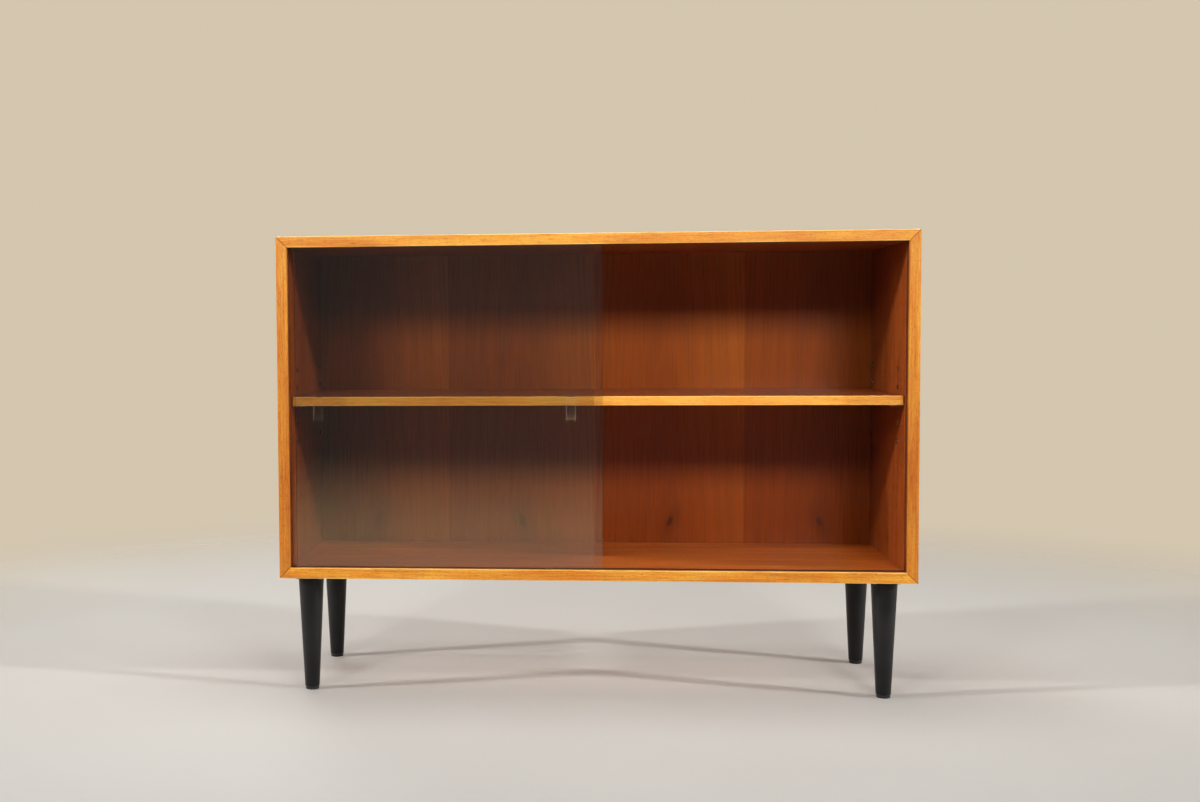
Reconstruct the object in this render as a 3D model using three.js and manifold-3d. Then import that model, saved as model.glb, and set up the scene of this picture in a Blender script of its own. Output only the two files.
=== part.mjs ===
// Low bookcase with a mitred case, two sliding glass doors, one loose shelf and four tapered legs.
// Millimetres. The origin is the middle of the footprint on the floor: +X right, +Y back, +Z up.
import * as THREE from 'three';
import { mergeVertices } from 'three/addons/utils/BufferGeometryUtils.js';
import Module from 'manifold-3d';

// Clearances
const fit = 0.3; // gap that a seated piece keeps to what carries it
const paneRun = 0.4; // gap on each side of a pane in its slot
const overrun = 2; // how far a cutter reaches past the face it starts from

// Case
const caseWidth = 1100;
const caseHeight = 600;
const caseDepth = 340;
const boardThickness = 19;
const lippingDepth = 8;
const lippingEase = 1.2;
const backThickness = 8;
const backLap = 10; // how far the back panel reaches over each board

// Loose tongue across each mitred corner
const tongueWidth = 12;
const tongueThickness = 3;
const tongueInset = 8; // from the inner corner, along both boards
const tongueEndInset = 30;

// Running tracks for the panes
const slotRib = 3;
const trackWall = 1.2;
const trackFloor = 1;
const bottomSlotDepth = 4;
const topSlotDepth = 9;
const sideSlotDepth = 6;

// Panes
const paneThickness = 5;
const paneOverlap = 3; // of the two panes in the middle, when both are closed
const paneStopGap = 0.5; // from a closed pane to the floor of its side channel
const paneTopEngagement = 5;
const paneEase = 0.4;
const rearPaneStandoff = 1.4; // from the floor of the left channel, where the doors stand open
const frontPaneStandoff = 16.4;

// Finger recess, ground by a wheel that runs up and down and has a hollow face
const recessInset = 54.5; // from the outer edge of the pane to the middle of the recess
const recessWidth = 17;
const recessDepth = 2;
const recessRadius = 135;
const recessHollow = 0.35;
const wheelSteps = 360;
const hollowSteps = 8;

// Shelf and its supports
const shelfThickness = 16;
const shelfSetback = 30; // behind the front of the case
const shelfSideGap = 2.5;
const shelfBackGap = 2;
const shelfLippingDepth = 6;
const shelfLippingEase = 1;
const holePitch = 32;
const holesPerColumn = 5;
const frontColumn = 86; // behind the front of the case
const rearColumn = 30; // in front of the back of the case
const sleeveBore = 5;
const sleeveBarrel = 6.8;
const sleeveLength = 9;
const sleeveFlange = 8.6;
const sleeveFlangeThickness = 0.8;
const sleeveHoleDepth = 10.5;
const pinNose = 5;
const pinNoseLength = 11;
const pinShankLength = 8;
const pinEase = 0.6;

// Stand
const standHeight = 205;
const legSideInset = 49; // from the side of the case to the middle of the leg
const legFrontInset = 40;
const legTopDiameter = 45;
const legFootDiameter = 26;
const legEase = 1.5;
const glideDiameter = 24;
const glideHeight = 5;
const glideEase = 1.5;
const glideNailDiameter = 3;
const glideNailLength = 12;
const plateSize = 54;
const plateCorner = 6;
const plateThickness = 2;
const plateScrewSpacing = 40;
const bossDiameter = 13;
const bossHeight = 8;
const boltDiameter = 8;
const boltEase = 1;

// Screw holes
const plateScrewHole = 4.6;
const plateScrewDepth = 12; // into the bottom board
const backScrewHole = 3.6;
const backScrewDepth = 13; // into the boards, past the panel
const backScrewCountersink = 6.6;
const backScrewsAcross = 6;
const backScrewsDown = 3;
const backScrewEndInset = 60;

// Facets
const legFacets = 32;
const smallFacets = 12;
const roundFacets = 16;
const arcFacets = 4;

// Places that follow from the sizes above
const innerWidth = caseWidth - 2 * boardThickness;
const innerHeight = caseHeight - 2 * boardThickness;
const frontY = -caseDepth / 2;
const backY = caseDepth / 2;
const boardFrontY = frontY + lippingDepth + fit;
const slotWidth = paneThickness + 2 * paneRun;
const trackWidth = 2 * trackWall + 2 * slotWidth + slotRib;
const trackRearY = boardFrontY + trackWidth;
const frontPaneY = boardFrontY + trackWall + slotWidth / 2;
const rearPaneY = frontPaneY + slotWidth + slotRib;
const channelFloorX = innerWidth / 2 + sideSlotDepth; // from the middle to the floor of a side channel
const paneWidth = channelFloorX - paneStopGap + paneOverlap / 2;
const paneHeight = innerHeight + bottomSlotDepth - fit + paneTopEngagement;
const paneMiddleZ = (paneTopEngagement - bottomSlotDepth + fit) / 2;
const bottomTrackHeight = bottomSlotDepth + trackFloor;
const topTrackHeight = topSlotDepth + trackFloor;
const sideTrackHeight = sideSlotDepth + trackFloor;
const backFaceY = backY - backThickness;
const columnsY = [frontY + frontColumn, backY - rearColumn];
const shelfBottomZ = pinNose / 2 + fit;
const legX = caseWidth / 2 - legSideInset;
const legY = caseDepth / 2 - legFrontInset;
const sides = { left: -1, right: 1 };

const finish = (color, roughness, metalness = 0) =>
  new THREE.MeshStandardMaterial({ color, roughness, metalness });
const veneer = finish(0x8a4a20, 0.45);
const darkVeneer = finish(0x6e3418, 0.5);
const honeyWood = finish(0xe0a04a, 0.45);
const blackLacquer = finish(0x242221, 0.4);
const darkPlastic = finish(0x1c1412, 0.4);
const blackPlastic = finish(0x161616, 0.5);
const zincSteel = finish(0xa8a8a4, 0.4, 1);
const plywood = finish(0xb98a55, 0.7);
const clearGlass = new THREE.MeshStandardMaterial({
  color: 0xdfe9e6,
  roughness: 0.05,
  transparent: true,
  opacity: 0.35,
});

const wasm = await Module();
wasm.setup();

// A closed mesh with shared corners, as a solid that can be cut.
function toSolid(geometry) {
  const bare = new THREE.BufferGeometry();
  bare.setAttribute('position', geometry.getAttribute('position'));
  if (geometry.index) bare.setIndex(geometry.index);
  const welded = mergeVertices(bare);
  const corners = welded.index.array;
  const triVerts = [];
  for (let i = 0; i < corners.length; i += 3) {
    const [a, b, c] = [corners[i], corners[i + 1], corners[i + 2]];
    if (a !== b && b !== c && c !== a) triVerts.push(a, b, c);
  }
  return new wasm.Manifold(
    new wasm.Mesh({
      numProp: 3,
      vertProperties: Float32Array.from(welded.getAttribute('position').array),
      triVerts: Uint32Array.from(triVerts),
    })
  );
}

function toGeometry(solid) {
  const { vertProperties, triVerts } = solid.getMesh();
  const geometry = new THREE.BufferGeometry();
  geometry.setAttribute('position', new THREE.BufferAttribute(Float32Array.from(vertProperties), 3));
  geometry.setIndex(new THREE.BufferAttribute(Uint32Array.from(triVerts), 1));
  const flat = geometry.toNonIndexed();
  flat.computeVertexNormals();
  return flat;
}

// The first geometry with all the others cut out of it.
function cut(geometry, cutters) {
  const cutterSolids = cutters.map(toSolid);
  return toGeometry(cutterSolids.reduce((solid, cutter) => solid.subtract(cutter), toSolid(geometry)));
}

// A copy of one geometry at each of the given places.
function copiesAt(geometry, places) {
  return places.map(([x, y, z]) => geometry.clone().translate(x, y, z));
}

function polygon(points) {
  return new THREE.Shape(points.map(([x, y]) => new THREE.Vector2(x, y)));
}

// A turned piece: profile points are [radius, height], and the axis is +Z.
function turned(profile, facets) {
  const points = profile.map(([radius, height]) => new THREE.Vector2(radius, height));
  return new THREE.LatheGeometry(points, facets).rotateX(Math.PI / 2);
}

// A bar whose section is drawn in (y, z) below its inner face at z = 0. It runs along X, and its
// ends are mitred so that four of them close a frame round a clear opening of the given length.
function mitredBar(section, clearLength) {
  const bar = new THREE.ExtrudeGeometry(section, {
    depth: 1,
    bevelEnabled: false,
    curveSegments: arcFacets,
  });
  const corners = bar.getAttribute('position');
  const setback = fit / Math.SQRT2;
  for (let i = 0; i < corners.count; i++) {
    const [y, z] = [corners.getX(i), corners.getY(i)];
    const halfLength = clearLength / 2 - z - setback;
    corners.setXYZ(i, corners.getZ(i) > 0 ? halfLength : -halfLength, y, z);
  }
  bar.computeVertexNormals();
  return bar;
}

// A straight bar along X with the same kind of section.
function straightBar(section, length) {
  const bar = new THREE.ExtrudeGeometry(section, {
    depth: length,
    bevelEnabled: false,
    curveSegments: arcFacets,
  });
  return bar.translate(0, 0, -length / 2).rotateY(Math.PI / 2).rotateX(Math.PI / 2);
}

// Section of a case board: a rebate at the front for the track and one at the back for the panel.
function boardSection(trackHeight) {
  return polygon([
    [boardFrontY, -boardThickness],
    [backY, -boardThickness],
    [backY, -backLap - fit],
    [backFaceY - fit, -backLap - fit],
    [backFaceY - fit, 0],
    [trackRearY + fit, 0],
    [trackRearY + fit, -trackHeight - fit],
    [boardFrontY, -trackHeight - fit],
  ]);
}

// Section of a solid lipping: both front arrises are eased.
function lippingSection(front, depth, height, ease) {
  const section = new THREE.Shape();
  section.moveTo(front + depth, 0);
  section.lineTo(front + ease, 0);
  section.absarc(front + ease, -ease, ease, Math.PI / 2, Math.PI, false);
  section.lineTo(front, -height + ease);
  section.absarc(front + ease, -height + ease, ease, Math.PI, Math.PI * 1.5, false);
  section.lineTo(front + depth, -height);
  return section;
}

// Section of a twin-slot track, with its top flush at z = 0.
function trackSection(slotDepth) {
  const height = slotDepth + trackFloor;
  const points = [
    [boardFrontY, -height],
    [trackRearY, -height],
    [trackRearY, 0],
  ];
  for (const middle of [rearPaneY, frontPaneY]) {
    points.push([middle + slotWidth / 2, 0], [middle + slotWidth / 2, -slotDepth]);
    points.push([middle - slotWidth / 2, -slotDepth], [middle - slotWidth / 2, 0]);
  }
  points.push([boardFrontY, 0]);
  return polygon(points);
}

// Section, turn and clear length of the four boards, seen from the middle of the case.
const frame = {
  bottom: { turn: 0, clear: innerWidth, away: innerHeight / 2, trackHeight: bottomTrackHeight },
  top: { turn: Math.PI, clear: innerWidth, away: innerHeight / 2, trackHeight: topTrackHeight },
  side_left: { turn: Math.PI / 2, clear: innerHeight, away: innerWidth / 2, trackHeight: sideTrackHeight },
  side_right: { turn: -Math.PI / 2, clear: innerHeight, away: innerWidth / 2, trackHeight: sideTrackHeight },
};

// Corners of the frame as seen by one bar: the tongue slot at each of its two ends.
function tongueSlots(clearLength) {
  const slot = new THREE.BoxGeometry(
    tongueWidth + 2 * fit,
    caseDepth - 2 * tongueEndInset + 2 * fit,
    tongueThickness + 2 * fit
  );
  return [-1, 1].map((side) =>
    slot
      .clone()
      .rotateY(side * Math.PI / 4)
      .translate(side * (clearLength / 2 + tongueInset), 0, -tongueInset)
  );
}

function sleeveHoles(side) {
  const drill = turned(
    [
      [0, -sleeveHoleDepth],
      [sleeveBarrel / 2 + fit, -sleeveHoleDepth],
      [sleeveBarrel / 2 + fit, overrun],
      [0, overrun],
    ],
    smallFacets
  );
  // In the board's own frame its length runs along the height of the case.
  return columnsY.flatMap((y) => copiesAt(drill, rowHeights().map((z) => [side * z, y, 0])));
}

function rowHeights() {
  return Array.from({ length: holesPerColumn }, (_, i) => (i - (holesPerColumn - 1) / 2) * holePitch);
}

// Places of the screws round the edge of the back panel, seen from the middle of the case.
function backScrewPlaces() {
  const x = innerWidth / 2 + backLap / 2;
  const z = innerHeight / 2 + backLap / 2;
  const spread = (count, half) =>
    Array.from({ length: count }, (_, i) => ((2 * i) / (count - 1) - 1) * (half - backScrewEndInset));
  return {
    bottom: spread(backScrewsAcross, innerWidth / 2).map((along) => [along, 0, -z]),
    top: spread(backScrewsAcross, innerWidth / 2).map((along) => [along, 0, z]),
    side_left: spread(backScrewsDown, innerHeight / 2).map((along) => [-x, 0, along]),
    side_right: spread(backScrewsDown, innerHeight / 2).map((along) => [x, 0, along]),
  };
}

// Countersunk screw hole through the back panel and on into the boards, bored from the back.
function backScrewHoleCutter() {
  const [hole, sink] = [backScrewHole / 2, backScrewCountersink / 2];
  const drill = turned(
    [
      [0, -backThickness - backScrewDepth],
      [hole, -backThickness - backScrewDepth],
      [hole, hole - sink],
      [sink, 0],
      [sink, overrun],
      [0, overrun],
    ],
    smallFacets
  );
  return drill.rotateX(-Math.PI / 2).translate(0, backY, 0);
}

// Screw hole through a leg plate and on into the board above it.
function plateScrewHoleCutter() {
  const hole = plateScrewHole / 2;
  const start = -plateThickness - fit - overrun;
  return turned([[0, start], [hole, start], [hole, plateScrewDepth], [0, plateScrewDepth]], smallFacets);
}

function plateScrewPlaces() {
  const half = plateScrewSpacing / 2;
  return [[-half, -half, 0], [half, -half, 0], [half, half, 0], [-half, half, 0]];
}

const legPlaces = {
  front_left: [-legX, -legY],
  front_right: [legX, -legY],
  rear_left: [-legX, legY],
  rear_right: [legX, legY],
};

const part = new THREE.Group();
const caseMiddle = new THREE.Group();
caseMiddle.position.z = standHeight + caseHeight / 2;
part.add(caseMiddle);

function add(group, name, geometry, material) {
  const mesh = new THREE.Mesh(geometry, material);
  mesh.name = name;
  group.add(mesh);
  return mesh;
}

// Turn a bar from the bottom place to its own place round the opening.
function seat(mesh, { turn, away }) {
  mesh.rotation.y = turn;
  mesh.position.set(-Math.sin(turn) * away, 0, -Math.cos(turn) * away);
}

// Cutters of the leg plates' bosses and screws, in the frame of the bottom board.
function legPlateCutters() {
  const drill = turned(
    [
      [0, -overrun],
      [bossDiameter / 2 + fit, -overrun],
      [bossDiameter / 2 + fit, bossHeight],
      [0, bossHeight],
    ],
    roundFacets
  );
  const cutters = [drill, ...copiesAt(plateScrewHoleCutter(), plateScrewPlaces())];
  return Object.values(legPlaces).flatMap(([x, y]) =>
    cutters.map((cutter) => cutter.clone().translate(x, y, -boardThickness))
  );
}

function makeBoards() {
  const screwPlaces = backScrewPlaces();
  for (const [name, place] of Object.entries(frame)) {
    const bar = mitredBar(boardSection(place.trackHeight), place.clear);
    const cutters = [...tongueSlots(place.clear)];
    // The screws are drawn from the middle of the case, so they are turned into the bar's own frame.
    const [homeX, homeZ] = [-Math.sin(place.turn) * place.away, -Math.cos(place.turn) * place.away];
    for (const [x, y, z] of screwPlaces[name]) {
      cutters.push(backScrewHoleCutter().translate(x - homeX, y, z - homeZ).rotateY(-place.turn));
    }
    if (name === 'side_left') cutters.push(...sleeveHoles(sides.left));
    if (name === 'side_right') cutters.push(...sleeveHoles(sides.right));
    if (name === 'bottom') cutters.push(...legPlateCutters());
    seat(add(caseMiddle, `case_${name}`, cut(bar, cutters), veneer), place);
  }
}

function makeLippings() {
  const section = lippingSection(frontY, lippingDepth, boardThickness, lippingEase);
  for (const [name, place] of Object.entries(frame)) {
    const short = name.replace('side_', '');
    seat(add(caseMiddle, `lipping_${short}`, mitredBar(section, place.clear), honeyWood), place);
  }
}

function makeTongues() {
  const tongue = new THREE.BoxGeometry(tongueWidth, caseDepth - 2 * tongueEndInset, tongueThickness);
  for (const [sideName, side] of Object.entries(sides)) {
    for (const [levelName, level] of Object.entries({ bottom: -1, top: 1 })) {
      const mesh = add(caseMiddle, `corner_tongue_${levelName}_${sideName}`, tongue, plywood);
      mesh.rotation.y = -side * level * Math.PI / 4;
      mesh.position.set(side * (innerWidth / 2 + tongueInset), 0, level * (innerHeight / 2 + tongueInset));
    }
  }
}

// The side channels run the full height of the rebates, and the cross tracks fit between them.
function makeTracks() {
  const across = { length: innerWidth - 2 * fit, rise: 0 };
  const upright = {
    slotDepth: sideSlotDepth,
    length: innerHeight + bottomTrackHeight + topTrackHeight,
    rise: (topTrackHeight - bottomTrackHeight) / 2,
  };
  const runs = {
    track_bottom: { ...across, slotDepth: bottomSlotDepth, place: frame.bottom },
    track_top: { ...across, slotDepth: topSlotDepth, place: frame.top },
    side_channel_left: { ...upright, place: frame.side_left },
    side_channel_right: { ...upright, place: frame.side_right },
  };
  for (const [name, { place, slotDepth, length, rise }] of Object.entries(runs)) {
    const mesh = add(caseMiddle, name, straightBar(trackSection(slotDepth), length), darkPlastic);
    seat(mesh, place);
    mesh.position.z += rise;
  }
}

function makeBack() {
  const panel = new THREE.BoxGeometry(
    innerWidth + 2 * backLap,
    backThickness,
    innerHeight + 2 * backLap
  ).translate(0, backY - backThickness / 2, 0);
  const places = Object.values(backScrewPlaces()).flat();
  add(caseMiddle, 'back_panel', cut(panel, copiesAt(backScrewHoleCutter(), places)), darkVeneer);
}

// The grinding wheel: its axis runs along X and its rim is hollow in the middle.
function grindingWheel() {
  const half = recessWidth / 2;
  const rim = Array.from({ length: hollowSteps + 1 }, (_, i) => {
    const across = (2 * i) / hollowSteps - 1;
    return [recessRadius - recessHollow * (1 - across * across), across * half];
  });
  return turned([[0, -half], ...rim, [0, half]], wheelSteps).rotateX(-Math.PI / 2).rotateZ(-Math.PI / 2);
}

// One pane with ground edges. The recess lies near its outer edge, on its front face.
function paneGeometry(outerSide) {
  const [halfWidth, halfHeight] = [paneWidth / 2 - paneEase, paneHeight / 2 - paneEase];
  const outline = polygon([
    [-halfWidth, -halfHeight],
    [halfWidth, -halfHeight],
    [halfWidth, halfHeight],
    [-halfWidth, halfHeight],
  ]);
  const sheet = new THREE.ExtrudeGeometry(outline, {
    depth: paneThickness - 2 * paneEase,
    bevelThickness: paneEase,
    bevelSize: paneEase,
    bevelSegments: 1,
  });
  sheet.translate(0, 0, paneEase - paneThickness / 2).rotateX(Math.PI / 2);
  const wheel = grindingWheel().translate(
    outerSide * (paneWidth / 2 - recessInset),
    -paneThickness / 2 + recessDepth - recessRadius,
    -paneMiddleZ
  );
  return cut(sheet, [wheel]);
}

// Both panes stand open at the left, each a little short of its stop.
function makePanes() {
  const openPaneX = (standoff) => paneWidth / 2 + standoff - channelFloorX;
  const left = add(caseMiddle, 'door_pane_left', paneGeometry(sides.left), clearGlass);
  left.position.set(openPaneX(rearPaneStandoff), rearPaneY, paneMiddleZ);
  const right = add(caseMiddle, 'door_pane_right', paneGeometry(sides.right), clearGlass);
  right.position.set(openPaneX(frontPaneStandoff), frontPaneY, paneMiddleZ);
}

function makeShelf() {
  const length = innerWidth - 2 * shelfSideGap;
  const front = frontY + shelfSetback;
  const boardFront = front + shelfLippingDepth + fit;
  const rear = backFaceY - shelfBackGap;
  const board = new THREE.BoxGeometry(length, rear - boardFront, shelfThickness);
  board.translate(0, (rear + boardFront) / 2, shelfBottomZ + shelfThickness / 2);
  add(caseMiddle, 'shelf_board', board, veneer);
  const section = lippingSection(front, shelfLippingDepth, shelfThickness, shelfLippingEase);
  const lipping = add(caseMiddle, 'shelf_lipping', straightBar(section, length), honeyWood);
  lipping.position.z = shelfBottomZ + shelfThickness;
}

// Flanged sleeve whose flange stands just off the inner face, at local z = 0.
function sleeveGeometry() {
  const flangeTop = fit + sleeveFlangeThickness;
  const [bore, barrel, flange] = [sleeveBore / 2, sleeveBarrel / 2, sleeveFlange / 2];
  const ring = [
    [bore, fit - sleeveLength],
    [barrel, fit - sleeveLength],
    [barrel, fit],
    [flange, fit],
    [flange, flangeTop],
    [bore, flangeTop],
    [bore, fit - sleeveLength],
  ];
  return turned(ring, smallFacets);
}

function pinGeometry() {
  const flangeTop = fit + sleeveFlangeThickness;
  const [shank, nose] = [sleeveBore / 2 - fit, pinNose / 2];
  const noseEnd = flangeTop + fit + pinNoseLength;
  return turned(
    [
      [0, flangeTop - pinShankLength],
      [shank, flangeTop - pinShankLength],
      [shank, flangeTop + fit],
      [nose, flangeTop + fit],
      [nose, noseEnd - pinEase],
      [nose - pinEase, noseEnd],
      [0, noseEnd],
    ],
    roundFacets
  );
}

function makeShelfSupports() {
  for (const [sideName, side] of Object.entries(sides)) {
    columnsY.forEach((y, column) => {
      const columnName = ['front', 'rear'][column];
      const facing = (mesh, z) => {
        mesh.rotation.y = -side * Math.PI / 2;
        mesh.position.set(side * innerWidth / 2, y, z);
      };
      rowHeights().forEach((z, row) => {
        facing(add(caseMiddle, `pin_sleeve_${sideName}_${columnName}_${row + 1}`, sleeveGeometry(), zincSteel), z);
      });
      facing(add(caseMiddle, `shelf_pin_${sideName}_${columnName}`, pinGeometry(), zincSteel), 0);
    });
  }
}

// A leg between its glide and its plate, with the bolt that screws up into the plate's boss.
function legGeometry(bottom, top) {
  const [head, foot] = [legTopDiameter / 2, legFootDiameter / 2];
  const bolt = boltDiameter / 2;
  const boltTop = standHeight + bossHeight - 2 * fit;
  const nailBore = glideNailDiameter / 2 + fit;
  const nailEnd = glideHeight + glideNailLength + fit;
  return turned(
    [
      [0, nailEnd],
      [nailBore, nailEnd],
      [nailBore, bottom],
      [foot - legEase, bottom],
      [foot, bottom + legEase],
      [head, top - legEase],
      [head - legEase, top],
      [bolt, top],
      [bolt, boltTop - boltEase],
      [bolt - boltEase, boltTop],
      [0, boltTop],
    ],
    legFacets
  );
}

function glideGeometry() {
  const [pad, nail] = [glideDiameter / 2, glideNailDiameter / 2];
  return turned(
    [
      [0, 0],
      [pad - glideEase, 0],
      [pad, glideEase],
      [pad, glideHeight],
      [nail, glideHeight],
      [nail, glideHeight + glideNailLength],
      [0, glideHeight + glideNailLength],
    ],
    roundFacets
  );
}

// Square plate with round corners and a boss that stands up into the case. Its top is at z = -fit.
function plateGeometry() {
  const half = plateSize / 2;
  const flat = half - plateCorner;
  const outline = new THREE.Shape();
  outline.absarc(flat, flat, plateCorner, 0, Math.PI / 2, false);
  outline.absarc(-flat, flat, plateCorner, Math.PI / 2, Math.PI, false);
  outline.absarc(-flat, -flat, plateCorner, Math.PI, Math.PI * 1.5, false);
  outline.absarc(flat, -flat, plateCorner, Math.PI * 1.5, Math.PI * 2, false);
  const plate = new THREE.ExtrudeGeometry(outline, {
    depth: plateThickness,
    bevelEnabled: false,
    curveSegments: arcFacets,
  }).translate(0, 0, -fit - plateThickness);
  const bossTop = bossHeight - fit;
  const boss = turned(
    [[0, -fit - plateThickness], [bossDiameter / 2, -fit - plateThickness], [bossDiameter / 2, bossTop], [0, bossTop]],
    roundFacets
  );
  const bore = turned(
    [
      [0, -plateThickness - overrun],
      [boltDiameter / 2 + fit, -plateThickness - overrun],
      [boltDiameter / 2 + fit, bossTop + overrun],
      [0, bossTop + overrun],
    ],
    roundFacets
  );
  const joined = toGeometry(toSolid(plate).add(toSolid(boss)));
  return cut(joined, [bore, ...copiesAt(plateScrewHoleCutter(), plateScrewPlaces())]);
}

function makeStand() {
  const legTop = standHeight - plateThickness - 2 * fit;
  for (const [name, [x, y]] of Object.entries(legPlaces)) {
    const foot = new THREE.Group();
    foot.position.set(x, y, 0);
    part.add(foot);
    add(foot, `leg_${name}`, legGeometry(glideHeight + fit, legTop), blackLacquer);
    add(foot, `leg_glide_${name}`, glideGeometry(), blackPlastic);
    add(foot, `leg_plate_${name}`, plateGeometry(), zincSteel).position.z = standHeight;
  }
}

makeBoards();
makeLippings();
makeTongues();
makeTracks();
makeBack();
makePanes();
makeShelf();
makeShelfSupports();
makeStand();

export default part;
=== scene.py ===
import itertools
import math

import bmesh
import bpy
import numpy as np
from bpy.props import FloatProperty, FloatVectorProperty, PointerProperty
from bpy.types import Operator, Panel, PropertyGroup
from mathutils import Matrix, Vector


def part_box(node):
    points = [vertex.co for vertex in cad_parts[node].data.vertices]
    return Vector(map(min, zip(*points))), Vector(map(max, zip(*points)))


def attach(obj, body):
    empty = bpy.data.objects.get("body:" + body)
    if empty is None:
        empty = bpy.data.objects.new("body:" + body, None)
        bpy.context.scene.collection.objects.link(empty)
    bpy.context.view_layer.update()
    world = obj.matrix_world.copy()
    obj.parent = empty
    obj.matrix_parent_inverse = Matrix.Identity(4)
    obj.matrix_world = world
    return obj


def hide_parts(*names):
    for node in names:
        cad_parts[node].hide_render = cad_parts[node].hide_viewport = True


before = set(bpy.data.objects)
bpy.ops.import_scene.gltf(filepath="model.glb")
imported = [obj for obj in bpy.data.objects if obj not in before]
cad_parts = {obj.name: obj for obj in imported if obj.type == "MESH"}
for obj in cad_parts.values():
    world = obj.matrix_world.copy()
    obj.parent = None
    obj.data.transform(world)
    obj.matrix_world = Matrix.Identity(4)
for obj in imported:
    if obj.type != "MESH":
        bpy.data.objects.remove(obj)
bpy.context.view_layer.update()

bl_info = {
    "name": "Bookcase with sliding doors",
    "version": (1, 0, 0),
    "blender": (4, 5, 0),
    "location": "3D View > Sidebar > Bookcase",
    "description": "Veneered case with mitred lippings, sliding glass panes and turned legs",
    "category": "Add Mesh",
}

MM = 0.001
X, Y, Z = 0, 1, 2
SIDES = {"left": -1, "right": 1}
COLUMNS = ("front", "rear")
ROWS = range(1, 6)
CORNERS = [(depth, side) for depth in COLUMNS for side in SIDES]

# Camera, fitted to the photographed edges of the case
CAMERA_PLACE = (-0.01162, -2.67185, 0.64313)
CAMERA_RIGHT = (0.9960272, 0.0888159, -0.0064518)
CAMERA_UP = (0.0019488, 0.0506932, 0.9987124)
CAMERA_FORWARD = (-0.0890286, 0.9947572, -0.0503187)
CAMERA_LENS = 43.519
CAMERA_SHIFT = (0.11995, 0.0005)

# Strength of the even light from all round
FILL_STRENGTH = 0.095

# Edges that turn by more degrees than this stay sharp
SHARP = 32

# Height of a round screw head's rim over its radius
RIM_SHARE = 0.25


def tone(red, green, blue):
    """Linear colour from a screen colour of 0 to 255."""
    screen = np.array([red, green, blue]) / 255
    low = screen / 12.92
    high = ((screen + 0.055) / 1.055) ** 2.4
    return tuple(np.where(screen <= 0.04045, low, high).tolist())


def length(label, description, millimetres):
    """A length that a user may change."""
    return FloatProperty(
        name=label,
        description=description,
        default=millimetres * MM,
        min=0.0,
        unit="LENGTH",
        subtype="DISTANCE",
        precision=4,
    )


def colour(label, description, red, green, blue):
    """A colour that a user may change, given as a screen colour."""
    return FloatVectorProperty(
        name=label,
        description=description,
        default=tone(red, green, blue),
        size=3,
        min=0.0,
        max=1.0,
        subtype="COLOR",
    )


class BookcaseSizes(PropertyGroup):
    """Sizes of the details that the pieces are finished with."""

    lipping_ease: length("Lipping ease", "Radius of the front edges of the case's lippings", 1.2)
    shelf_ease: length("Shelf ease", "Radius of the front edges of the shelf's lipping", 1.3)
    inner_ease: length("Inner ease", "Radius of a lipping's edges that lie against its board", 0.2)
    board_ease: length("Board ease", "Radius of the long edges of the boards", 0.4)
    back_ease: length("Back ease", "Radius of the edges of the back panel", 0.3)
    track_ease: length("Track ease", "Radius of the edges of the tracks", 0.15)
    leaf_width: length("Leaf width", "Width of each leaf of the back's veneer", 286.0)
    leaf_joint: length("Leaf joint", "From the middle of the back to its nearest joint", 8.0)
    knot_rise: length("Knot rise", "Height of the knots over the floor of the case", 42.0)
    pane_arris: length("Pane arris", "Width of the ground arris round each pane", 0.5)
    recess_inset: length("Recess inset", "From the outer edge of a pane to its finger recess", 54.5)
    recess_width: length("Recess width", "Width of the finger recess", 17.0)
    recess_depth: length("Recess depth", "Depth of the finger recess at its middle", 2.0)
    recess_wheel: length("Recess wheel", "Radius of the wheel that grinds the recess", 135.0)
    recess_hollow: length("Recess hollow", "How hollow the rim of that wheel is", 0.35)
    recess_wall: length("Recess wall", "Width of the sloping wall at each side of the recess", 1.0)
    leg_foot: length("Leg foot", "Diameter of a leg at its foot", 26.0)
    leg_ease: length("Leg ease", "Radius of the edges at both ends of a leg", 1.8)
    glide_ease: length("Glide ease", "Radius of the lower edge of a glide", 1.5)
    sleeve_bore: length("Sleeve bore", "Bore of the sleeves for the shelf pins", 5.0)
    sleeve_barrel: length("Sleeve barrel", "Diameter of the barrel of a sleeve", 6.8)
    pin_ease: length("Pin ease", "Radius of the nose of a shelf pin", 0.6)
    screw_head: length("Back screw head", "Diameter of the heads in the back panel", 6.2)
    plate_screw_head: length("Plate screw head", "Diameter of the heads in the leg plates", 8.4)


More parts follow.
